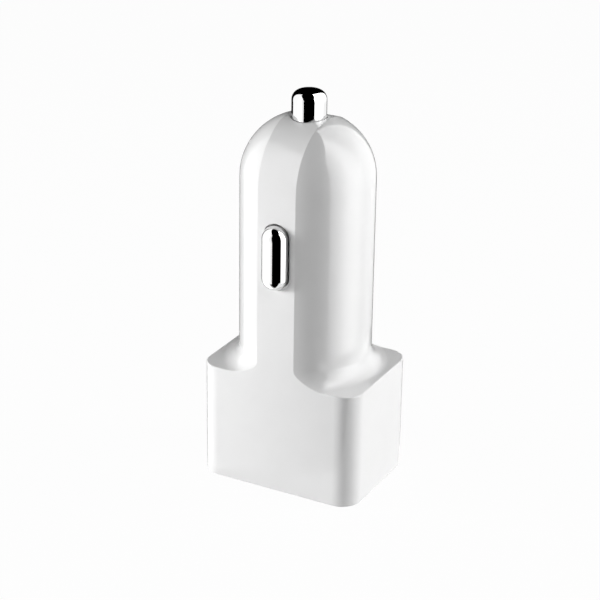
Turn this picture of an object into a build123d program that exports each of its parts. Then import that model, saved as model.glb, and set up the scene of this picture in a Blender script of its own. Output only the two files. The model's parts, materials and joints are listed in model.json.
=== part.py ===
# Car charger plug with two USB sockets, standing nose up on its USB face
# Millimetres, +Z to the nose, front contact towards -Y, origin at the middle of the USB face

import os
from math import sqrt

from build123d import *

os.makedirs("parts", exist_ok=True)

# Block that holds the sockets
block_width = 27.4
block_height = 19.1
block_corner = 3.3
rim_round = 0.3
edge_round = 0.2
shoulder_land = 0.6

# Barrel and nose, with two flats level with the faces of the block
barrel_radius = 10.5
flat_inset = 0.5
dome_start = 49.9
nose_land = 0.5
flat_nose_land = 0.46
wall = 1.5

# Centre pin
pin_radius = 2.7
pin_play = 0.15
pin_proud = 3.7
pin_edge = 1.5
pin_crown = 0.2
pin_shoulder_depth = 2.9
flange_radius = 3.5
flange_play = 0.15
flange_thickness = 0.8
stub_radius = 1.4
stub_length = 3.0
guide_wall = 1.1
guide_length = 7.0

# Side contacts
contact_width = 4.2
contact_length = 10.4
contact_centre = 39.9
contact_proud = 2.2
contact_edge = 1.9
contact_play = 0.2
contact_lip = 0.6
contact_lip_thickness = 0.6

# Springs
pin_wire = 0.45
pin_spring_turns = 7
pin_spring_radius = 2.4
leaf_thickness = 0.3
leaf_width = 2.4
leaf_foot = 1.0
leaf_crest = 2.4
leaf_span = 7.0
leaf_bend = 0.6

# USB face plate
plate_thickness = 1.6
plate_rim = 1.0
plate_play = 0.08
arm_width = 5.0
arm_thickness = 1.0
arm_height = 7.0
arm_gap = 0.3
hook_reach = 0.6
hook_height = 1.2

# USB sockets
socket_pitch = 8.7
socket_width = 13.1
socket_height = 5.7
sheet = 0.3
socket_corner = 0.6
socket_start = 1.7
tongue_width = 11.1
tongue_thickness = 1.84
tongue_offset = 1.0
tongue_setback = 1.7
socket_back = 3.6
strip_width = 0.9
strip_thickness = 0.25
strip_pitches = (-3.5, -1.0, 1.0, 3.5)
strip_setback = 0.9
strip_sunk = 0.15
latch_width = 1.6
latch_length = 4.2
latch_pitch = 6.4
latch_slit = 0.25
latch_centre = 6.4
leg_width = 1.2
solder_length = 0.6
pad_play = 0.1
tongue_tip = 0.4

# Boards
board_thickness = 1.2
usb_board_start = 15.0
usb_board_margin = 0.2
ledge = 0.9
main_board_margin = 0.75
main_board_top = 46.2
board_play = 0.1
rib_thickness = 0.8
rib_reach = 1.3
tab_width = 3.0
tab_spacing = 9.0
tab_length = 1.8

# Pieces on the main board
terminal_radius = 3.3
terminal_thickness = 0.5
terminal_tab_width = 2.4
terminal_tab_length = 1.5
boss_radius = 1.9
boss_height = 0.6
inductor_radius = 4.4
inductor_height = 5.0
inductor_centre = 24.6
core_flange = 0.7
core_post = 1.9
winding_margin = 0.35
winding_turns = 4
can_share = 0.35
can_length = 11.0
can_start = 19.0
can_offset_share = 0.4
can_standoff = 0.3
can_groove = 0.25
can_neck = 0.7
can_lead_radius = 0.25
can_lead_spacing = 2.5
can_lead_drop = 1.2
sleeve_thickness = 0.12
sleeve_turn = 0.6
chip_size = (4.9, 3.9, 1.4)
converter_row = 40.0
chip_rib_gap = 0.25
chip_edge = 0.25
chip_leads_a_side = 4
lead_pitch = 1.27
lead_width = 0.42
lead_thickness = 0.2
lead_reach = 1.05
diode_size = (2.6, 4.3, 2.0)
diode_rib_gap = 1.2
diode_terminal = 1.4
chip_part_size = (1.25, 2.0)
chip_part_end = 0.35
chip_cap = 0.05
chip_column_gap = 1.475
chip_rows = (34.0, 38.0, 42.0)
resistor_depth = 0.5
ceramic_column = 2.4
ceramic_row = 31.4
ceramic_depth = 1.0

# Worked out from the sizes above
half_depth = barrel_radius - flat_inset
block_depth = 2 * half_depth
dome_radius = barrel_radius - nose_land
flat_dome_radius = half_depth - flat_nose_land
nose_top = dome_start + dome_radius
shoulder_fillet = block_width / 2 - barrel_radius - shoulder_land
shoulder_top = block_height + shoulder_fillet
pin_top = nose_top + pin_proud
hole_radius = pin_radius + pin_play
pin_shoulder = nose_top - pin_shoulder_depth
chamber_radius = flange_radius + flange_play
guide_radius = chamber_radius + guide_wall
guide_end = pin_shoulder - guide_length
flange_bottom = pin_shoulder - flange_thickness
inner_face = half_depth - wall
cavity_radius = barrel_radius - wall
cavity_top = block_height - wall
rib_edge = cavity_radius - rib_reach
usb_board_top = usb_board_start + board_thickness
board_face = board_thickness / 2
main_board_width = 2 * (cavity_radius - main_board_margin)
can_radius = can_share * cavity_radius
can_offset = can_offset_share * cavity_radius
chip_x = chip_size[0] / 2 + chip_rib_gap - rib_edge
diode_x = rib_edge - diode_rib_gap - diode_size[0] / 2
chip_column = rib_edge - chip_column_gap - chip_part_size[0] / 2
terminal_top = main_board_top + terminal_thickness
arm_face = block_width / 2 - wall - plate_play
arm_top = plate_thickness + arm_height
hook_z = arm_top - hook_height
tongue_start = socket_start + tongue_setback
strip_start = tongue_start + strip_setback
strip_place = tongue_offset - tongue_thickness / 2 + strip_sunk - strip_thickness / 2


# A stadium sketch plane on the front or the rear flat, looking out of the barrel
def flat_plane(side, distance):
    return Plane(
        origin=(0, side * distance, contact_centre),
        x_dir=(-side, 0, 0),
        z_dir=(0, side, 0),
    )


# Half outline of a body of revolution that ends in a dome, drawn in the XZ plane
def bullet_outline(radius, arc_radius, start):
    top = dome_start + arc_radius
    centre = radius - arc_radius
    knee = arc_radius * sqrt(0.5)
    Polyline((0, top), (0, start), (radius, start), (radius, dome_start))
    ThreePointArc((radius, dome_start), (centre + knee, dome_start + knee), (centre, top))
    Line((centre, top), (0, top))


# Side view of the two flats and their rounded tops, drawn in the YZ plane
def slab_outline(half, arc_radius, start):
    top = dome_start + arc_radius
    centre = half - arc_radius
    knee = arc_radius * sqrt(0.5)
    Polyline((-half, dome_start), (-half, start), (half, start), (half, dome_start))
    ThreePointArc((half, dome_start), (centre + knee, dome_start + knee), (centre, top))
    Line((centre, top), (-centre, top))
    ThreePointArc((-centre, top), (-centre - knee, dome_start + knee), (-half, dome_start))


# Hollow of the housing, with the pin guide and the board ribs left standing in it
with BuildPart() as hollow:
    with BuildSketch(Plane.XZ) as barrel_hollow:
        with BuildLine():
            bullet_outline(cavity_radius, dome_radius - wall, cavity_top)
        make_face()
    revolve(axis=Axis.Z)
    with BuildSketch(Plane.YZ) as slab_hollow:
        with BuildLine():
            slab_outline(inner_face, flat_dome_radius - wall, cavity_top)
        make_face()
    extrude(amount=block_width, both=True, mode=Mode.INTERSECT)
    with BuildSketch() as block_hollow:
        RectangleRounded(block_width - 2 * wall, block_depth - 2 * wall, block_corner - wall)
    extrude(amount=usb_board_top)
    with BuildSketch(Plane.XY.offset(usb_board_top)) as ledge_hollow:
        RectangleRounded(
            block_width - 2 * wall - 2 * ledge, block_depth - 2 * wall, block_corner - wall
        )
    extrude(amount=cavity_top - usb_board_top)
    with BuildSketch() as plate_seat:
        RectangleRounded(
            block_width - 2 * plate_rim, block_depth - 2 * plate_rim, block_corner - plate_rim
        )
    extrude(amount=plate_thickness)
    with BuildSketch(Plane.XY.offset(guide_end)) as pin_guide:
        Circle(guide_radius)
    extrude(amount=dome_radius, mode=Mode.SUBTRACT)
    with BuildSketch(Plane.XY.offset(cavity_top)) as board_ribs:
        for side in (-1, 1):
            with Locations((0, side * (board_face + board_play + rib_thickness / 2))):
                Rectangle(2 * cavity_radius, rib_thickness)
        Rectangle(2 * rib_edge, block_depth, mode=Mode.SUBTRACT)
    extrude(amount=main_board_top - cavity_top, mode=Mode.SUBTRACT)
    hook_window = (hook_reach + arm_gap, arm_width + 2 * arm_gap, hook_height + arm_gap)
    for side in (-1, 1):
        with Locations((side * (block_width / 2 - wall), 0, hook_z - arm_gap / 2)):
            Box(
                2 * hook_window[0],
                hook_window[1],
                hook_window[2],
                align=(Align.CENTER, Align.CENTER, Align.MIN),
            )

# Housing: block, shoulder, barrel and nose in one moulding, with every outer edge eased
with BuildPart() as housing:
    with BuildSketch(Plane.XZ) as barrel_profile:
        with BuildLine():
            bullet_outline(barrel_radius, dome_radius, cavity_top)
        make_face()
        with Locations((barrel_radius, cavity_top)):
            Rectangle(shoulder_fillet, shoulder_top - cavity_top, align=(Align.MIN, Align.MIN))
        with Locations((barrel_radius + shoulder_fillet, shoulder_top)):
            Circle(shoulder_fillet, mode=Mode.SUBTRACT)
    revolve(axis=Axis.Z)
    with BuildSketch(Plane.YZ) as slab_profile:
        with BuildLine():
            slab_outline(half_depth, flat_dome_radius, 0)
        make_face()
    extrude(amount=block_width, both=True, mode=Mode.INTERSECT)
    with BuildSketch() as block_outline:
        RectangleRounded(block_width, block_depth, block_corner)
    extrude(amount=block_height)
    fillet(housing.faces().sort_by(Axis.Z)[0].edges(), radius=rim_round)
    block_rim = housing.edges().filter_by_position(Axis.Z, block_height, block_height)
    fillet(block_rim.filter_by(GeomType.LINE), radius=edge_round)
    add(hollow.part, mode=Mode.SUBTRACT)
    with BuildSketch(Plane.XY.offset(guide_end)) as guide_bore:
        Circle(chamber_radius)
    extrude(amount=guide_length, mode=Mode.SUBTRACT)
    with BuildSketch(Plane.XY.offset(pin_shoulder)) as pin_hole:
        Circle(hole_radius)
    extrude(amount=dome_radius, mode=Mode.SUBTRACT)
    for side in (-1, 1):
        with BuildSketch(flat_plane(side, inner_face - wall)) as contact_slot:
            SlotOverall(
                contact_length + 2 * contact_play,
                contact_width + 2 * contact_play,
                rotation=90,
            )
        extrude(amount=3 * wall, mode=Mode.SUBTRACT)
housing.part.label = "housing"
export_step(housing.part, "parts/housing.step")

# USB face plate with two openings and two snap arms
with BuildPart() as usb_face_plate:
    with BuildSketch() as plate_outline:
        RectangleRounded(
            block_width - 2 * plate_rim - 2 * plate_play,
            block_depth - 2 * plate_rim - 2 * plate_play,
            block_corner - plate_rim - plate_play,
        )
        with GridLocations(0, socket_pitch, 1, 2):
            RectangleRounded(
                socket_width - 2 * sheet,
                socket_height - 2 * sheet,
                socket_corner - sheet,
                mode=Mode.SUBTRACT,
            )
    extrude(amount=plate_thickness)
    with BuildSketch(Plane.XZ) as arm_profile:
        with BuildLine():
            Polyline(
                (arm_face - arm_thickness, plate_thickness),
                (arm_face, plate_thickness),
                (arm_face, hook_z),
                (arm_face + hook_reach, hook_z),
                (arm_face, arm_top),
                (arm_face - arm_thickness, arm_top),
                close=True,
            )
        make_face()
    mirror(about=Plane.YZ)
    extrude(amount=arm_width / 2, both=True)
usb_face_plate.part.label = "usb_face_plate"
export_step(usb_face_plate.part, "parts/usb_face_plate.step")


# Folded steel shell of a socket, with latch tongues cut into both wide walls
def make_shell(centre):
    with BuildPart() as shell:
        with BuildSketch(Plane.XY.offset(socket_start)) as shell_section:
            with Locations((0, centre)):
                RectangleRounded(socket_width, socket_height, socket_corner)
                RectangleRounded(
                    socket_width - 2 * sheet,
                    socket_height - 2 * sheet,
                    socket_corner - sheet,
                    mode=Mode.SUBTRACT,
                )
        extrude(amount=usb_board_start - socket_start)
        with BuildSketch(Plane.XZ.offset(-centre)) as latch_slits:
            with GridLocations(latch_pitch, 0, 2, 1):
                with Locations((0, latch_centre)):
                    Rectangle(latch_width + 2 * latch_slit, latch_length)
                with Locations((0, latch_centre + latch_slit)):
                    Rectangle(latch_width, latch_length, mode=Mode.SUBTRACT)
        extrude(amount=socket_height, both=True, mode=Mode.SUBTRACT)
        with BuildSketch(Plane.XY.offset(usb_board_start)) as legs:
            with Locations((0, centre)):
                with GridLocations(socket_width - sheet, 0, 2, 1):
                    Rectangle(sheet, leg_width)
        extrude(amount=board_thickness + solder_length)
    return shell


# Plastic back of a socket and its tongue, grooved for the contact strips
def make_insulator(centre):
    with BuildPart() as insulator:
        with BuildSketch(Plane.XY.offset(usb_board_start - socket_back)) as back:
            with Locations((0, centre)):
                RectangleRounded(
                    socket_width - 2 * sheet, socket_height - 2 * sheet, socket_corner - sheet
                )
        extrude(amount=socket_back)
        with BuildSketch(Plane.XY.offset(tongue_start)) as tongue:
            with Locations((0, centre + tongue_offset)):
                Rectangle(tongue_width, tongue_thickness)
        extrude(amount=usb_board_start - tongue_start)
        tip = insulator.faces().sort_by(Axis.Z)[0].edges().filter_by(Axis.X)
        chamfer(tip, length=tongue_tip)
        with BuildSketch(Plane.XY.offset(strip_start)) as grooves:
            with Locations(*[(x, centre + strip_place) for x in strip_pitches]):
                Rectangle(strip_width, strip_thickness)
        extrude(amount=usb_board_start - strip_start, mode=Mode.SUBTRACT)
    return insulator


# Four contact strips of a socket, which run through its back into the cross board
def make_strips(centre):
    with BuildPart() as strips:
        with BuildSketch(Plane.XY.offset(strip_start)) as strip_sections:
            with Locations(*[(x, centre + strip_place) for x in strip_pitches]):
                Rectangle(strip_width, strip_thickness)
        extrude(amount=usb_board_top + solder_length - strip_start)
    return strips


for place, side in (("front", -1), ("rear", 1)):
    socket_centre = side * socket_pitch / 2
    usb_shell = make_shell(socket_centre)
    usb_shell.part.label = f"{place}_usb_shell"
    export_step(usb_shell.part, f"parts/{place}_usb_shell.step")
    usb_insulator = make_insulator(socket_centre)
    usb_insulator.part.label = f"{place}_usb_insulator"
    export_step(usb_insulator.part, f"parts/{place}_usb_insulator.step")
    usb_contacts = make_strips(socket_centre)
    usb_contacts.part.label = f"{place}_usb_contacts"
    export_step(usb_contacts.part, f"parts/{place}_usb_contacts.step")

# Cross board that carries both sockets, slotted for their legs and for the upright board
with BuildPart() as usb_board:
    with BuildSketch(Plane.XY.offset(usb_board_start)) as usb_board_outline:
        RectangleRounded(
            block_width - 2 * wall - 2 * usb_board_margin,
            block_depth - 2 * wall - 2 * usb_board_margin,
            block_corner - wall,
        )
        with GridLocations(tab_spacing, 0, 2, 1):
            Rectangle(
                tab_width + 2 * board_play, board_thickness + 2 * board_play, mode=Mode.SUBTRACT
            )
        with GridLocations(socket_width - sheet, socket_pitch, 2, 2):
            Rectangle(sheet + 2 * pad_play, leg_width + 2 * pad_play, mode=Mode.SUBTRACT)
        for side in (-1, 1):
            row = side * socket_pitch / 2 + strip_place
            with Locations(*[(x, row) for x in strip_pitches]):
                Rectangle(
                    strip_width + 2 * pad_play, strip_thickness + 2 * pad_play, mode=Mode.SUBTRACT
                )
    extrude(amount=board_thickness)
usb_board.part.label = "usb_board"
export_step(usb_board.part, "parts/usb_board.step")

# Upright board in the barrel, with two tabs through the cross board
with BuildPart() as main_board:
    with BuildSketch(Plane.XZ) as main_board_outline:
        with Locations((0, usb_board_top)):
            Rectangle(
                main_board_width, main_board_top - usb_board_top, align=(Align.CENTER, Align.MIN)
            )
        with GridLocations(tab_spacing, 0, 2, 1):
            with Locations((0, usb_board_top)):
                Rectangle(tab_width, tab_length, align=(Align.CENTER, Align.MAX))
    extrude(amount=board_face, both=True)
main_board.part.label = "main_board"
export_step(main_board.part, "parts/main_board.step")

# Centre pin: crowned tip, retaining flange and spring stub, turned in one piece
with BuildPart() as centre_pin:
    with BuildSketch(Plane.XZ) as pin_profile:
        with BuildLine():
            crown_radius = (pin_radius**2 + pin_crown**2) / (2 * pin_crown)
            crown_drop = crown_radius - sqrt(crown_radius**2 - (pin_radius / 2) ** 2)
            Polyline(
                (0, pin_top),
                (0, flange_bottom - stub_length),
                (stub_radius, flange_bottom - stub_length),
                (stub_radius, flange_bottom),
                (flange_radius, flange_bottom),
                (flange_radius, pin_shoulder),
                (pin_radius, pin_shoulder),
                (pin_radius, pin_top - pin_crown),
            )
            ThreePointArc(
                (pin_radius, pin_top - pin_crown),
                (pin_radius / 2, pin_top - crown_drop),
                (0, pin_top),
            )
        make_face()
        outer_corners = pin_profile.vertices().filter_by(lambda corner: corner.X > stub_radius)
        fillet(outer_corners.sort_by(Axis.Y)[-1], radius=pin_edge)
    revolve(axis=Axis.Z)
centre_pin.part.label = "centre_pin"
export_step(centre_pin.part, "parts/centre_pin.step")

# Brass terminal on the end of the upright board, with a boss for the spring and a solder tab
with BuildPart() as pin_terminal:
    with BuildSketch(Plane.XY.offset(main_board_top)) as terminal_disc:
        Circle(terminal_radius)
    extrude(amount=terminal_thickness)
    with BuildSketch(Plane.XY.offset(terminal_top)) as terminal_boss:
        Circle(boss_radius)
    extrude(amount=boss_height)
    with Locations((0, -board_face, terminal_top)):
        Box(
            terminal_tab_width,
            terminal_thickness,
            terminal_thickness + terminal_tab_length,
            align=(Align.CENTER, Align.MAX, Align.MAX),
        )
pin_terminal.part.label = "pin_terminal"
export_step(pin_terminal.part, "parts/pin_terminal.step")

# Coil spring between the terminal and the flange of the pin
with BuildPart() as pin_spring:
    with BuildLine() as coil:
        coil_height = flange_bottom - terminal_top - pin_wire
        Helix(
            pitch=coil_height / pin_spring_turns,
            height=coil_height,
            radius=pin_spring_radius,
            center=(0, 0, terminal_top + pin_wire / 2),
        )
    with BuildSketch(Plane(origin=coil.line @ 0, z_dir=coil.line % 0)) as wire:
        Circle(pin_wire / 2)
    sweep(path=coil.line, is_frenet=True)
pin_spring.part.label = "pin_spring"
export_step(pin_spring.part, "parts/pin_spring.step")


# Side contact: a stadium button with a full round edge and a lip behind the wall
def make_contact(side):
    with BuildPart() as contact:
        with BuildSketch(flat_plane(side, inner_face - contact_lip_thickness)) as lip:
            SlotOverall(contact_length + 2 * contact_lip, contact_width + 2 * contact_lip, rotation=90)
        extrude(amount=contact_lip_thickness)
        with BuildSketch(flat_plane(side, inner_face)) as button:
            SlotOverall(contact_length, contact_width, rotation=90)
        extrude(amount=wall + contact_proud)
        crest = contact.faces().sort_by(Axis.Y)[-1 if side > 0 else 0]
        fillet(crest.edges(), radius=contact_edge)
    return contact


# Leaf spring bridged from the board to the back of a side contact
def make_leaf(side):
    foot_u = board_face + leaf_thickness / 2
    crest_u = inner_face - contact_lip_thickness - leaf_thickness / 2
    with BuildPart() as leaf:
        with BuildSketch(Plane.YZ) as leaf_profile:
            with BuildLine() as leaf_line:
                FilletPolyline(
                    (side * foot_u, contact_centre - leaf_span / 2 - leaf_foot),
                    (side * foot_u, contact_centre - leaf_span / 2),
                    (side * crest_u, contact_centre - leaf_crest / 2),
                    (side * crest_u, contact_centre + leaf_crest / 2),
                    (side * foot_u, contact_centre + leaf_span / 2),
                    (side * foot_u, contact_centre + leaf_span / 2 + leaf_foot),
                    radius=leaf_bend,
                )
            trace(line_width=leaf_thickness)
        extrude(amount=leaf_width / 2, both=True)
    return leaf


for place, side in (("front", -1), ("rear", 1)):
    side_contact = make_contact(side)
    side_contact.part.label = f"{place}_contact"
    export_step(side_contact.part, f"parts/{place}_contact.step")
    contact_spring = make_leaf(side)
    contact_spring.part.label = f"{place}_contact_spring"
    export_step(contact_spring.part, f"parts/{place}_contact_spring.step")

# Drum core of the inductor, lying against the front of the upright board
drum_plane = Plane(origin=(0, -board_face, inductor_centre), x_dir=(1, 0, 0), z_dir=(0, -1, 0))
with BuildPart() as inductor_core:
    with BuildSketch(drum_plane) as near_flange:
        Circle(inductor_radius)
    extrude(amount=core_flange)
    with BuildSketch(drum_plane) as post:
        Circle(core_post)
    extrude(amount=inductor_height)
    with BuildSketch(drum_plane.offset(inductor_height - core_flange)) as far_flange:
        Circle(inductor_radius)
    extrude(amount=core_flange)
inductor_core.part.label = "inductor_core"
export_step(inductor_core.part, "parts/inductor_core.step")

# Enamelled winding between the flanges, ridged by its turns
with BuildPart() as inductor_winding:
    turn = (inductor_height - 2 * core_flange) / winding_turns
    winding_edge = inductor_radius - winding_margin - turn / 2
    turns_plane = Plane(origin=(0, -board_face, inductor_centre), x_dir=(1, 0, 0), z_dir=(0, 0, 1))
    with BuildSketch(turns_plane) as winding_section:
        with Locations((core_post, -core_flange)):
            Rectangle(
                winding_edge - core_post, winding_turns * turn, align=(Align.MIN, Align.MAX)
            )
        for count in range(winding_turns):
            with Locations((winding_edge, -core_flange - (count + 0.5) * turn)):
                Circle(turn / 2)
    revolve(axis=Axis((0, 0, inductor_centre), (0, 1, 0)))
inductor_winding.part.label = "inductor_winding"
export_step(inductor_winding.part, "parts/inductor_winding.step")


# Electrolytic capacitor lying along the rear of the board, with its leads bent to the board
def make_can(x):
    y = board_face + can_standoff + can_radius
    core = can_radius - sleeve_thickness
    with BuildPart() as can:
        with BuildSketch(Plane(origin=(x, y, 0), x_dir=(1, 0, 0), z_dir=(0, -1, 0))) as can_profile:
            with BuildLine():
                Polyline(
                    (0, can_start),
                    (core, can_start),
                    (core, can_start + can_neck),
                    (core - can_groove, can_start + 1.5 * can_neck),
                    (core, can_start + 2 * can_neck),
                    (core, can_start + can_length),
                    (0, can_start + can_length),
                    close=True,
                )
            make_face()
        revolve(axis=Axis((x, y, 0), (0, 0, 1)))
        for lead_side in (-1, 1):
            with BuildLine() as lead_line:
                lead_x = x + lead_side * can_lead_spacing / 2
                FilletPolyline(
                    (lead_x, y, can_start),
                    (lead_x, y, can_start - can_lead_drop),
                    (lead_x, board_face, can_start - can_lead_drop),
                    radius=2 * can_lead_radius,
                )
            with BuildSketch(Plane(origin=lead_line.line @ 0, z_dir=(0, 0, -1))) as lead_section:
                Circle(can_lead_radius)
            sweep(path=lead_line.line)
    return can


# Printed sleeve shrunk round a capacitor, turned in over the rim of the can
def make_sleeve(x):
    y = board_face + can_standoff + can_radius
    top = can_start + can_length
    with BuildPart() as sleeve:
        with BuildSketch(Plane.XY.offset(can_start + 2 * can_neck)) as sleeve_ring:
            with Locations((x, y)):
                Circle(can_radius)
                Circle(can_radius - sleeve_thickness, mode=Mode.SUBTRACT)
        extrude(amount=can_length - 2 * can_neck)
        with BuildSketch(Plane.XY.offset(top)) as sleeve_rim:
            with Locations((x, y)):
                Circle(can_radius)
                Circle(can_radius - sleeve_turn, mode=Mode.SUBTRACT)
        extrude(amount=sleeve_thickness)
    return sleeve


for role, side in (("input", -1), ("output", 1)):
    capacitor = make_can(side * can_offset)
    capacitor.part.label = f"{role}_capacitor"
    export_step(capacitor.part, f"parts/{role}_capacitor.step")
    capacitor_sleeve = make_sleeve(side * can_offset)
    capacitor_sleeve.part.label = f"{role}_capacitor_sleeve"
    export_step(capacitor_sleeve.part, f"parts/{role}_capacitor_sleeve.step")

# Converter chip on the rear of the board, beside the contact spring
chip_width, chip_height, chip_depth = chip_size
with BuildPart() as controller_chip:
    with Locations((chip_x, board_face + lead_thickness, converter_row)):
        Box(chip_width, chip_depth, chip_height, align=(Align.CENTER, Align.MIN, Align.CENTER))
    chamfer(controller_chip.faces().sort_by(Axis.Y)[-1].edges(), length=chip_edge)
controller_chip.part.label = "controller_chip"
export_step(controller_chip.part, "parts/controller_chip.step")

# Eight bent leads of the chip
lead_planes = [
    Plane.YZ.offset(chip_x + (count - 1.5) * lead_pitch) for count in range(chip_leads_a_side)
]
with BuildPart() as controller_leads:
    for side in (-1, 1):
        edge = converter_row + side * chip_height / 2
        lead_root = board_face + lead_thickness + chip_depth / 2
        lead_foot = board_face + lead_thickness / 2
        with BuildSketch(*lead_planes) as lead_profile:
            with BuildLine():
                FilletPolyline(
                    (lead_root, edge),
                    (lead_root, edge + side * lead_reach / 2),
                    (lead_foot, edge + side * lead_reach / 2),
                    (lead_foot, edge + side * lead_reach),
                    radius=lead_thickness,
                )
            trace(line_width=lead_thickness)
        extrude(amount=lead_width / 2, both=True)
controller_leads.part.label = "controller_leads"
export_step(controller_leads.part, "parts/controller_leads.step")

# Rectifier diode on the rear of the board, on two folded terminals
diode_width, diode_height, diode_depth = diode_size
with BuildPart() as rectifier_diode:
    with Locations((diode_x, board_face + lead_thickness, converter_row)):
        Box(diode_width, diode_depth, diode_height, align=(Align.CENTER, Align.MIN, Align.CENTER))
    chamfer(rectifier_diode.faces().sort_by(Axis.Y)[-1].edges(), length=chip_edge)
rectifier_diode.part.label = "rectifier_diode"
export_step(rectifier_diode.part, "parts/rectifier_diode.step")

with BuildPart() as diode_terminals:
    for side in (-1, 1):
        end = converter_row + side * diode_height / 2
        inner = (Align.MIN, Align.CENTER, Align.MAX)[1 + side]
        outer = (Align.MAX, Align.CENTER, Align.MIN)[1 + side]
        with Locations((diode_x, board_face, end)):
            Box(
                diode_terminal,
                lead_thickness,
                diode_terminal,
                align=(Align.CENTER, Align.MIN, inner),
            )
            Box(
                diode_terminal,
                lead_thickness + diode_depth / 2,
                lead_thickness,
                align=(Align.CENTER, Align.MIN, outer),
            )
diode_terminals.part.label = "diode_terminals"
export_step(diode_terminals.part, "parts/diode_terminals.step")


# A group of chip parts on the front of the board, each with raised end caps
def make_chip_parts(places, depth):
    width, height = chip_part_size
    with BuildPart() as chip_parts:
        with Locations(*[(x, -board_face, z) for x, z in places]):
            Box(
                width - 2 * chip_cap,
                depth - chip_cap,
                height,
                align=(Align.CENTER, Align.MAX, Align.CENTER),
            )
            for cap_side in (-1, 1):
                with Locations((0, 0, cap_side * (height - chip_part_end) / 2)):
                    Box(width, depth, chip_part_end, align=(Align.CENTER, Align.MAX, Align.CENTER))
    return chip_parts


resistor_places = [(side * chip_column, z) for side in (-1, 1) for z in chip_rows]
chip_resistors = make_chip_parts(resistor_places, resistor_depth)
chip_resistors.part.label = "chip_resistors"
export_step(chip_resistors.part, "parts/chip_resistors.step")

ceramic_places = [(side * ceramic_column, ceramic_row) for side in (-1, 1)]
chip_capacitors = make_chip_parts(ceramic_places, ceramic_depth)
chip_capacitors.part.label = "chip_capacitors"
export_step(chip_capacitors.part, "parts/chip_capacitors.step")
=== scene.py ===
import json
import math

import bpy
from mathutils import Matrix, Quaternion, Vector

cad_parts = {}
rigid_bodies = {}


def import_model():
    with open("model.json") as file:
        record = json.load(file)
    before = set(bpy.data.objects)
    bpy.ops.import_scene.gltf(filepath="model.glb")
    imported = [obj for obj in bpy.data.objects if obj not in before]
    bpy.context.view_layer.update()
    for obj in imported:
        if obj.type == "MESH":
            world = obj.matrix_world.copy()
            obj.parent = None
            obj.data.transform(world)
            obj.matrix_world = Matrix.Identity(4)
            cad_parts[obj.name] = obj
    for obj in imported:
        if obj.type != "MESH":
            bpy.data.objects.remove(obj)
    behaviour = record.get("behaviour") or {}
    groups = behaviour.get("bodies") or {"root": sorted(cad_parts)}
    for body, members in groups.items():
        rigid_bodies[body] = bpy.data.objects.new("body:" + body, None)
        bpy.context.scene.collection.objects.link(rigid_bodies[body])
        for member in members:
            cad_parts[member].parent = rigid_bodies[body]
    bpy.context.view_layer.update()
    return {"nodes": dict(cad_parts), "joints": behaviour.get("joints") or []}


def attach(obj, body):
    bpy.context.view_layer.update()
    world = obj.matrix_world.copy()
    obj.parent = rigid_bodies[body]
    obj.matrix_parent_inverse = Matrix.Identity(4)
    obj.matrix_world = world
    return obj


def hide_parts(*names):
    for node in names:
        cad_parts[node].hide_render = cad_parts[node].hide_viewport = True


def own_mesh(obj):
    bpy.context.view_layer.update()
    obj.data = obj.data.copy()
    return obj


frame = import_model()
nodes = frame["nodes"]
scene = bpy.context.scene
print("frame loaded")


def linearColour(hexColour):  # sRGB hex to the linear values that Blender mixes
    parts = [int(hexColour[i:i + 2], 16) / 255 for i in (1, 3, 5)]
    lit = [p / 12.92 if p <= 0.04045 else ((p + 0.055) / 1.055) ** 2.4 for p in parts]
    return (*lit, 1.0)


def addNode(tree, kind, values=None, links=None, **settings):
    node = tree.nodes.new(kind)
    for name, value in settings.items():
        setattr(node, name, value)
    for socket, value in (values or {}).items():
        node.inputs[socket].default_value = value
    for socket, source in (links or {}).items():
        tree.links.new(source, node.inputs[socket])
    return node


def newMaterial(name):  # an empty tree with its output, and the piece's own coordinates
    material = bpy.data.materials.new(name)
    material.use_nodes = True
    tree = material.node_tree
    tree.nodes.clear()
    output = addNode(tree, "ShaderNodeOutputMaterial")
    place = addNode(tree, "ShaderNodeTexCoord").outputs["Object"]
    return material, tree, output, place


def seenRays(tree):  # 1 for rays of the camera, gloss and glass, and 0 for those that light the object
    rays = addNode(tree, "ShaderNodeLightPath")
    seen = addNode(tree, "ShaderNodeMath", links={0: rays.outputs["Is Camera Ray"], 1: rays.outputs["Is Glossy Ray"]},
                   operation="MAXIMUM")
    seen = addNode(tree, "ShaderNodeMath", links={0: seen.outputs[0], 1: rays.outputs["Is Transmission Ray"]},
                   operation="MAXIMUM")
    return seen.outputs[0]


def moulded(name, look):
    # injection-moulded plastic: clear gloss over a soft skin whose waves and grain bend the reflections a little
    material, tree, output, place = newMaterial(name)
    waves = addNode(tree, "ShaderNodeTexNoise", {"Scale": 1 / look["waveSize"], "Detail": 2.0, "Roughness": 0.4},
                    {"Vector": place})
    grain = addNode(tree, "ShaderNodeTexNoise", {"Scale": 1 / look["grainSize"], "Detail": 3.0, "Roughness": 0.6},
                    {"Vector": place})
    tint = addNode(tree, "ShaderNodeMix", {"A": linearColour(look["colour"]), "B": linearColour(look["cloudy"])},
                   {"Factor": waves.outputs["Fac"]}, data_type="RGBA")
    gloss = addNode(tree, "ShaderNodeMapRange", {"To Min": look["roughness"][0], "To Max": look["roughness"][1]},
                    {"Value": grain.outputs["Fac"]})
    skin = addNode(tree, "ShaderNodeBump", {"Strength": 1.0, "Distance": look["waveDepth"]},
                   {"Height": waves.outputs["Fac"]})
    skin = addNode(tree, "ShaderNodeBump", {"Strength": 1.0, "Distance": look["grainDepth"]},
                   {"Height": grain.outputs["Fac"], "Normal": skin.outputs["Normal"]})
    shader = addNode(tree, "ShaderNodeBsdfPrincipled", {"IOR": look["ior"]},
                     {"Base Color": tint.outputs["Result"], "Roughness": gloss.outputs["Result"],
                      "Normal": skin.outputs["Normal"]})
    tree.links.new(shader.outputs["BSDF"], output.inputs["Surface"])
    return material


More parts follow.
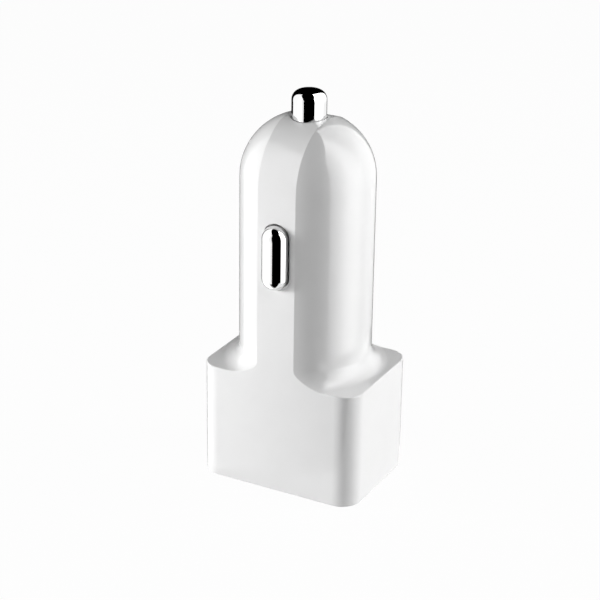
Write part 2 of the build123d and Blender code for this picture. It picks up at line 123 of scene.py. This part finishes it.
def metal(name, look):
    # rolled, drawn or plated metal: a mirror broken by fine lines that run along one axis
    material, tree, output, place = newMaterial(name)
    stretch = addNode(tree, "ShaderNodeMapping", {"Scale": look["stretch"]}, {"Vector": place})
    lines = addNode(tree, "ShaderNodeTexNoise", {"Scale": 1 / look["lineSize"], "Detail": 3.0, "Roughness": 0.55},
                    {"Vector": stretch.outputs["Vector"]})
    cloud = addNode(tree, "ShaderNodeTexNoise", {"Scale": 1 / look["cloudSize"], "Detail": 2.0}, {"Vector": place})
    tint = addNode(tree, "ShaderNodeMix", {"A": linearColour(look["colour"]), "B": linearColour(look["tarnish"])},
                   {"Factor": cloud.outputs["Fac"]}, data_type="RGBA")
    gloss = addNode(tree, "ShaderNodeMapRange", {"To Min": look["roughness"][0], "To Max": look["roughness"][1]},
                    {"Value": lines.outputs["Fac"]})
    skin = addNode(tree, "ShaderNodeBump", {"Strength": 1.0, "Distance": look["lineDepth"]},
                   {"Height": lines.outputs["Fac"]})
    shader = addNode(tree, "ShaderNodeBsdfPrincipled", {"Metallic": 1.0},
                     {"Base Color": tint.outputs["Result"], "Roughness": gloss.outputs["Result"],
                      "Normal": skin.outputs["Normal"]})
    tree.links.new(shader.outputs["BSDF"], output.inputs["Surface"])
    return material


mouldedLooks = {
    # glossy white ABS and polycarbonate from a polished mould: long flow waves, hardly any grain
    "whiteAbsHousing": {"colour": "#F3F3F3", "cloudy": "#F0F0F0", "waveSize": 0.0030, "waveDepth": 2e-6,
                        "grainSize": 0.0004, "grainDepth": 1e-7, "roughness": (0.04, 0.07), "ior": 1.58},
    # the same plastic from a lightly sparked mould, so the face is satin
    "whiteAbsPlate": {"colour": "#EFEFEE", "cloudy": "#EBEBEA", "waveSize": 0.0020, "waveDepth": 1e-6,
                      "grainSize": 0.00016, "grainDepth": 3e-6, "roughness": (0.30, 0.42), "ior": 1.5},
    # glass-filled white plastic of the socket tongues, a little chalky
    "whiteSocketPlastic": {"colour": "#EDECE6", "cloudy": "#E4E3DC", "waveSize": 0.0012, "waveDepth": 1e-6,
                           "grainSize": 0.0001, "grainDepth": 2e-6, "roughness": (0.38, 0.50), "ior": 1.55},
    # green solder mask over glass cloth, glossy with a fine cloth print-through
    "solderMask": {"colour": "#123F22", "cloudy": "#1A512E", "waveSize": 0.0009, "waveDepth": 6e-6,
                   "grainSize": 0.00025, "grainDepth": 2e-6, "roughness": (0.22, 0.34), "ior": 1.5},
    # manganese zinc ferrite, pressed and fired: matt, sooty, finely pitted
    "ferriteDrum": {"colour": "#1B1B1C", "cloudy": "#27272A", "waveSize": 0.0008, "waveDepth": 4e-6,
                    "grainSize": 0.00012, "grainDepth": 6e-6, "roughness": (0.55, 0.75), "ior": 1.6},
    # black shrink film, tight and glossy
    "blackShrinkFilm": {"colour": "#0B0B0D", "cloudy": "#141417", "waveSize": 0.0015, "waveDepth": 5e-6,
                        "grainSize": 0.0003, "grainDepth": 1e-6, "roughness": (0.18, 0.30), "ior": 1.5},
    # transfer-moulded epoxy of chips, matt with a sandy grain
    "chipEpoxy": {"colour": "#131314", "cloudy": "#1D1D1F", "waveSize": 0.0006, "waveDepth": 1e-6,
                  "grainSize": 0.00008, "grainDepth": 3e-6, "roughness": (0.45, 0.62), "ior": 1.55},
}
metalLooks = {
    # bright chrome plate over polished brass: almost a mirror, a trace of swirl
    "chromePlate": {"colour": "#EAEAEA", "tarnish": "#E2E2E2", "lineSize": 0.0004, "lineDepth": 4e-8,
                    "stretch": (1, 1, 0.2), "cloudSize": 0.004, "roughness": (0.03, 0.07)},
    # nickel-plated rolled steel sheet of the socket shells, lines along the roll
    "nickelSteelSheet": {"colour": "#C9CACC", "tarnish": "#B9BABD", "lineSize": 0.00012, "lineDepth": 8e-7,
                         "stretch": (1, 1, 0.05), "cloudSize": 0.003, "roughness": (0.18, 0.32)},
    # hard gold flash over nickel
    "goldFlash": {"colour": "#E8C36A", "tarnish": "#D9B05A", "lineSize": 0.0001, "lineDepth": 5e-7,
                  "stretch": (1, 1, 0.05), "cloudSize": 0.002, "roughness": (0.16, 0.28)},
    # drawn spring wire with die lines
    "springWire": {"colour": "#A9AAAD", "tarnish": "#8D8E92", "lineSize": 0.0001, "lineDepth": 8e-7,
                   "stretch": (1, 1, 0.3), "cloudSize": 0.001, "roughness": (0.22, 0.38)},
    # phosphor bronze strip
    "phosphorBronze": {"colour": "#C9925C", "tarnish": "#B07C4A", "lineSize": 0.0001, "lineDepth": 8e-7,
                       "stretch": (0.05, 1, 1), "cloudSize": 0.002, "roughness": (0.24, 0.40)},
    # stamped brass
    "stampedBrass": {"colour": "#D2B264", "tarnish": "#BC9C50", "lineSize": 0.00015, "lineDepth": 1e-6,
                     "stretch": (1, 0.1, 1), "cloudSize": 0.002, "roughness": (0.24, 0.40)},
    # enamelled copper wire: warm metal under a clear amber coat
    "enamelledCopper": {"colour": "#B8622C", "tarnish": "#96481C", "lineSize": 0.0002, "lineDepth": 2e-6,
                        "stretch": (1, 1, 1), "cloudSize": 0.001, "roughness": (0.16, 0.26)},
    # deep-drawn aluminium can
    "drawnAluminium": {"colour": "#D6D7D9", "tarnish": "#C4C5C8", "lineSize": 0.00012, "lineDepth": 8e-7,
                       "stretch": (1, 1, 0.08), "cloudSize": 0.003, "roughness": (0.22, 0.36)},
    # dipped tin, dull and slightly frosted
    "dippedTin": {"colour": "#C2C3C4", "tarnish": "#A9AAAC", "lineSize": 0.0002, "lineDepth": 3e-6,
                  "stretch": (1, 1, 1), "cloudSize": 0.0008, "roughness": (0.28, 0.45)},
}
materials = {name: moulded(name, look) for name, look in mouldedLooks.items()}
materials.update({name: metal(name, look) for name, look in metalLooks.items()})


def chipPart(name, look):
    # fired ceramic body between two tinned end caps: the caps are told by the height along each row
    material, tree, output, place = newMaterial(name)
    height = addNode(tree, "ShaderNodeSeparateXYZ", links={"Vector": place}).outputs["Z"]
    fromRow = addNode(tree, "ShaderNodeMath", {1: look["firstRow"]}, {0: height}, operation="SUBTRACT")
    inRow = addNode(tree, "ShaderNodeMath", {1: look["rowStep"]}, {0: fromRow.outputs[0]}, operation="PINGPONG")
    cap = addNode(tree, "ShaderNodeMath", {1: look["capStart"]}, {0: inRow.outputs[0]}, operation="GREATER_THAN")
    speckle = addNode(tree, "ShaderNodeTexNoise", {"Scale": 1 / look["grainSize"], "Detail": 3.0}, {"Vector": place})
    body = addNode(tree, "ShaderNodeMix", {"A": linearColour(look["colour"]), "B": linearColour(look["cloudy"])},
                   {"Factor": speckle.outputs["Fac"]}, data_type="RGBA")
    tint = addNode(tree, "ShaderNodeMix", {"B": linearColour(look["capColour"])},
                   {"Factor": cap.outputs[0], "A": body.outputs["Result"]}, data_type="RGBA")
    gloss = addNode(tree, "ShaderNodeMapRange", {"To Min": look["roughness"][0], "To Max": look["roughness"][1]},
                    {"Value": speckle.outputs["Fac"]})
    skin = addNode(tree, "ShaderNodeBump", {"Strength": 1.0, "Distance": look["grainDepth"]},
                   {"Height": speckle.outputs["Fac"]})
    shader = addNode(tree, "ShaderNodeBsdfPrincipled",
                     links={"Base Color": tint.outputs["Result"], "Roughness": gloss.outputs["Result"],
                            "Metallic": cap.outputs[0], "Normal": skin.outputs["Normal"]})
    tree.links.new(shader.outputs["BSDF"], output.inputs["Surface"])
    return material


chipPartLooks = {
    # black glazed resistors, three rows 4 mm apart
    "glazedResistor": {"colour": "#151516", "cloudy": "#1F1F21", "capColour": "#BDBEC0", "grainSize": 0.0001,
                       "grainDepth": 2e-6, "roughness": (0.25, 0.4), "firstRow": 0.034, "rowStep": 0.002,
                       "capStart": 0.00065},
    # tan ceramic capacitors, one row
    "tanCeramic": {"colour": "#A8865C", "cloudy": "#94744C", "capColour": "#BDBEC0", "grainSize": 0.0001,
                   "grainDepth": 2e-6, "roughness": (0.3, 0.45), "firstRow": 0.0314, "rowStep": 0.002,
                   "capStart": 0.00065},
}
materials.update({name: chipPart(name, look) for name, look in chipPartLooks.items()})
print("materials made")

finishes = {
    "whiteAbsHousing": ["housing"],
    "whiteAbsPlate": ["usb_face_plate"],
    "whiteSocketPlastic": ["front_usb_insulator", "rear_usb_insulator"],
    "nickelSteelSheet": ["front_usb_shell", "rear_usb_shell"],
    "goldFlash": ["front_usb_contacts", "rear_usb_contacts"],
    "solderMask": ["usb_board", "main_board"],
    "chromePlate": ["centre_pin", "front_contact", "rear_contact"],
    "springWire": ["pin_spring"],
    "phosphorBronze": ["front_contact_spring", "rear_contact_spring"],
    "stampedBrass": ["pin_terminal"],
    "ferriteDrum": ["inductor_core"],
    "enamelledCopper": ["inductor_winding"],
    "drawnAluminium": ["input_capacitor", "output_capacitor"],
    "blackShrinkFilm": ["input_capacitor_sleeve", "output_capacitor_sleeve"],
    "chipEpoxy": ["controller_chip", "rectifier_diode"],
    "dippedTin": ["controller_leads", "diode_terminals"],
    "glazedResistor": ["chip_resistors"],
    "tanCeramic": ["chip_capacitors"],
}
for finish, wearers in finishes.items():
    for wearer in wearers:
        nodes[wearer].data.materials.clear()
        nodes[wearer].data.materials.append(materials[finish])
print("pieces dressed")

# a live copy stands for each spring that a joint deforms, since a CAD node's mesh can't shorten: merged, smoothed,
# carried by the joint's parent body, with the CAD node hidden
liveSpring = {"mergeWithin": 1e-7, "smoothUpTo": 35}  # metres and degrees
for joint in frame["joints"]:
    for bent in joint["deforming_nodes"]:
        spring = nodes[bent["node"]].copy()
        spring.data = spring.data.copy()
        spring.name = bent["node"] + "_live"
        scene.collection.objects.link(spring)
        bpy.ops.object.select_all(action="DESELECT")
        spring.select_set(True)
        bpy.context.view_layer.objects.active = spring
        bpy.ops.object.mode_set(mode="EDIT")
        bpy.ops.mesh.select_all(action="SELECT")
        bpy.ops.mesh.remove_doubles(threshold=liveSpring["mergeWithin"])
        bpy.ops.object.mode_set(mode="OBJECT")
        bpy.ops.object.shade_smooth_by_angle(angle=math.radians(liveSpring["smoothUpTo"]))
        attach(spring, joint["parent"])
        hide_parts(bent["node"])
        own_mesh(spring)
print("springs set up")

cameraSpec = {  # fitted to the edges of the block and the barrel in the photograph
    "target": (0.0, 0.0, 0.030), "distance": 0.300, "azimuth": 27.68, "elevation": 23.27,
    "lens": 114.75, "roll": 0.0162, "shift": (-0.01035, -0.00803), "clip": (0.01, 20),
}
azimuth, elevation = math.radians(cameraSpec["azimuth"]), math.radians(cameraSpec["elevation"])
back = Vector((math.sin(azimuth) * math.cos(elevation), -math.cos(azimuth) * math.cos(elevation),
               math.sin(elevation)))
camera = bpy.data.objects.new("camera", bpy.data.cameras.new("camera"))
scene.collection.objects.link(camera)
camera.data.lens = cameraSpec["lens"]
camera.data.shift_x, camera.data.shift_y = cameraSpec["shift"]
camera.data.clip_start, camera.data.clip_end = cameraSpec["clip"]
camera.location = Vector(cameraSpec["target"]) + back * cameraSpec["distance"]
camera.rotation_mode = "QUATERNION"
camera.rotation_quaternion = (-back).to_track_quat("-Z", "Y") @ Quaternion((0, 0, 1), cameraSpec["roll"])
scene.camera = camera
print("camera placed")

# white paper roll: the camera sees white with a trace of the object's shadow, and its matt side bounces light
floorPaper = {"size": 6.0, "white": 0.97, "mottle": 0.0025, "matt": (0.70, 0.74)}
bpy.ops.object.select_all(action="DESELECT")
bpy.ops.mesh.primitive_plane_add(size=floorPaper["size"])
floor = bpy.context.object
floor.name = "floor"
paper, tree, output, place = newMaterial("seamlessPaper")
fibre = addNode(tree, "ShaderNodeTexNoise", {"Scale": 1 / floorPaper["mottle"], "Detail": 2.0}, {"Vector": place})
shade = addNode(tree, "ShaderNodeMapRange", {"To Min": floorPaper["matt"][0], "To Max": floorPaper["matt"][1]},
                {"Value": fibre.outputs["Fac"]})
matt = addNode(tree, "ShaderNodeBsdfDiffuse", links={"Color": shade.outputs["Result"]})
glow = addNode(tree, "ShaderNodeEmission", {"Strength": 1.0})
share = addNode(tree, "ShaderNodeMath", {1: floorPaper["white"]}, {0: seenRays(tree)}, operation="MULTIPLY")
both = addNode(tree, "ShaderNodeMixShader", links={"Fac": share.outputs[0], 1: matt.outputs["BSDF"],
                                                   2: glow.outputs["Emission"]})
tree.links.new(both.outputs["Shader"], output.inputs["Surface"])
floor.data.materials.append(paper)

world = bpy.data.worlds.new("studio")  # white wherever it is seen, with no light of its own
scene.world = world
world.use_nodes = True
tree = world.node_tree
tree.nodes.clear()
sky = addNode(tree, "ShaderNodeBackground", links={"Strength": seenRays(tree)})
addNode(tree, "ShaderNodeOutputWorld", links={"Surface": sky.outputs["Background"]})

# a round tent seen by gloss alone: matt black, with a white silk hung on the left and another on the right
tent = {"radius": 0.060, "height": 0.260, "sides": 360, "levels": 60, "lift": 0.0001, "silks": {
    # posts that each silk hangs between: bearing in degrees, height in metres, strength at its foot and at its head
    "leftSilk": ((-97, 0.170, 1.25, 1.25), (-50, 0.140, 1.25, 1.25), (-30, 0.115, 2.0, 2.0),
                 (-20, 0.100, 1.1, 1.1), (-8, 0.082, 1.1, 1.1)),
    "rightSilk": ((62, 0.106, 1.0, 2.5), (90, 0.176, 3.2, 6.0), (97, 0.194, 3.3, 6.5), (112, 0.231, 2.4, 6.0),
                  (128, 0.256, 0.6, 4.1), (176, 0.256, 0.5, 4.0)),
}}
bpy.ops.object.select_all(action="DESELECT")
bpy.ops.mesh.primitive_cylinder_add(vertices=tent["sides"], radius=tent["radius"], depth=tent["height"],
                                    location=(0, 0, tent["height"] / 2 + tent["lift"]), end_fill_type="TRIFAN")
lightTent = bpy.context.object
lightTent.name = "light_tent"
bpy.ops.object.transform_apply(location=True, rotation=True, scale=True)
bpy.ops.object.mode_set(mode="EDIT")
for level in range(1, tent["levels"]):
    bpy.ops.mesh.select_all(action="SELECT")
    bpy.ops.mesh.bisect(plane_co=(0, 0, tent["height"] * level / tent["levels"]), plane_no=(0, 0, 1))
bpy.ops.object.mode_set(mode="OBJECT")

litFaces = lightTent.data.attributes.new("litFace", "FLOAT", "FACE")  # how brightly each face shines
for face in lightTent.data.polygons:
    bearing = math.degrees(math.atan2(face.center.x, -face.center.y))
    face.select = face.center.z < 2 * tent["lift"]  # its bottom, which goes
    for posts in tent["silks"].values():
        for first, last in zip(posts, posts[1:]):
            across = (bearing - first[0]) % 360 / (last[0] - first[0])
            height, foot, head = Vector(first[1:]).lerp(Vector(last[1:]), across)
            if across < 1 and face.center.z < height:
                litFaces.data[face.index].value = foot + (head - foot) * face.center.z / height
litSilk, tree, output = newMaterial("litSilk")[:3]  # silk lit from behind, and black velvet where its strength is 0
lit = addNode(tree, "ShaderNodeAttribute", attribute_name="litFace")
glow = addNode(tree, "ShaderNodeEmission", links={"Strength": lit.outputs["Fac"]})
tree.links.new(glow.outputs["Emission"], output.inputs["Surface"])
lightTent.data.materials.append(litSilk)
bpy.ops.object.mode_set(mode="EDIT")
bpy.ops.mesh.select_mode(type="FACE")
bpy.ops.mesh.delete(type="FACE")
bpy.ops.object.mode_set(mode="OBJECT")

# wedges of cloth on the floor: the front and the rear one fade from light to black across the block's face beside
# them, and the narrow left and right ones give the thin dark lines down the block's outer edges
cloths = {"radius": 0.100, "sides": 360, "wedges": {
    # the tip's x and y, the bearings of its two edges, the edge bearing that the fade lies along and how wide it is,
    # and the strength where the fade starts
    "front_cloth": {"tip": (-0.0100, -0.0122), "edges": (-110, 65), "fadeAlong": -27.7, "fadeWidth": 0.0159,
                    "brightest": 2.0},
    "rear_cloth": {"tip": (0.0, 0.010), "edges": (152.3, 242), "fadeAlong": 152.3, "fadeWidth": 0.0092,
                   "brightest": 1.0},
    "left_cloth": {"tip": (-0.0125, -0.0095), "edges": (207, 250), "fadeAlong": 70, "fadeWidth": 0.002,
                   "brightest": 1.0},
    "right_cloth": {"tip": (0.0125, 0.0095), "edges": (172, 213), "fadeAlong": 172, "fadeWidth": 0.002,
                    "brightest": 1.0},
}}
glossOnly = [lightTent]
for layer, (name, wedge) in enumerate(cloths["wedges"].items(), 1):
    x, y = wedge["tip"]
    first, last = wedge["edges"]
    bpy.ops.object.select_all(action="DESELECT")
    bpy.ops.mesh.primitive_circle_add(vertices=cloths["sides"], radius=cloths["radius"], fill_type="TRIFAN",
                                      location=(x, y, tent["lift"] * layer))
    cloth = bpy.context.object
    cloth.name = name
    for face in cloth.data.polygons:
        bearing = math.degrees(math.atan2(face.center.x, -face.center.y))
        face.select = (bearing - first) % 360 > last - first  # what lies outside the wedge, which goes
    bpy.ops.object.mode_set(mode="EDIT")
    bpy.ops.mesh.select_mode(type="FACE")
    bpy.ops.mesh.delete(type="FACE")
    bpy.ops.object.mode_set(mode="OBJECT")
    bpy.ops.object.transform_apply(location=True, rotation=True, scale=True)
    turn = math.radians(wedge["fadeAlong"])
    faded, tree, output, place = newMaterial(name + "Fade")
    fromTip = addNode(tree, "ShaderNodeVectorMath", {1: (x, y, 0)}, {0: place}, operation="SUBTRACT")
    across = addNode(tree, "ShaderNodeVectorMath", {1: (math.cos(turn), math.sin(turn), 0)},
                     {0: fromTip.outputs["Vector"]}, operation="DOT_PRODUCT")
    fade = addNode(tree, "ShaderNodeMapRange",
                   {"From Max": wedge["fadeWidth"], "To Min": wedge["brightest"], "To Max": 0.0},
                   {"Value": across.outputs["Value"]})
    glow = addNode(tree, "ShaderNodeEmission", links={"Strength": fade.outputs["Result"]})
    tree.links.new(glow.outputs["Emission"], output.inputs["Surface"])
    cloth.data.materials.append(faded)
    glossOnly.append(cloth)
for piece in glossOnly:
    for ray in ("camera", "diffuse", "transmission", "volume_scatter", "shadow"):
        setattr(piece, "visible_" + ray, False)

softboxes = {"distance": 0.35, "aimHeight": 0.03, "boxes": {
    # bearing and slope in degrees, height that the slope starts from, width and height, watts
    "leftSoftbox": (-60, 3, 0.06, 0.12, 0.12, 0.905),
    "leftFrontSoftbox": (-40, 3, 0.06, 0.12, 0.12, 0.375),
    "rightSoftbox": (120, 3, 0.06, 0.12, 0.12, 0.935),
    "rightHighSoftbox": (60, 45, 0.03, 0.12, 0.14, 0.205),
    "rightRearSoftbox": (120, 45, 0.03, 0.12, 0.14, 0.047),
    "topSoftbox": (90, 70, 0.03, 0.12, 0.14, 0.130),
    "topLeftSoftbox": (270, 70, 0.03, 0.12, 0.14, 0.051),
}}
for name, (bearing, slope, start, wide, tall, watts) in softboxes["boxes"].items():
    lamp = bpy.data.objects.new(name, bpy.data.lights.new(name, "AREA"))
    scene.collection.objects.link(lamp)
    lamp.data.shape = "RECTANGLE"
    lamp.data.size, lamp.data.size_y = wide, tall
    lamp.data.energy = watts
    lamp.visible_camera = lamp.visible_glossy = False
    turn, tilt = math.radians(bearing), math.radians(slope)
    reach = Vector((math.sin(turn) * math.cos(tilt), -math.cos(turn) * math.cos(tilt), math.sin(tilt)))
    lamp.location = reach * softboxes["distance"] + Vector((0, 0, start))
    lamp.rotation_mode = "QUATERNION"
    lamp.rotation_quaternion = (Vector((0, 0, softboxes["aimHeight"])) - lamp.location).to_track_quat("-Z", "Y")
scene.view_settings.view_transform = "Standard"
print("studio lit")
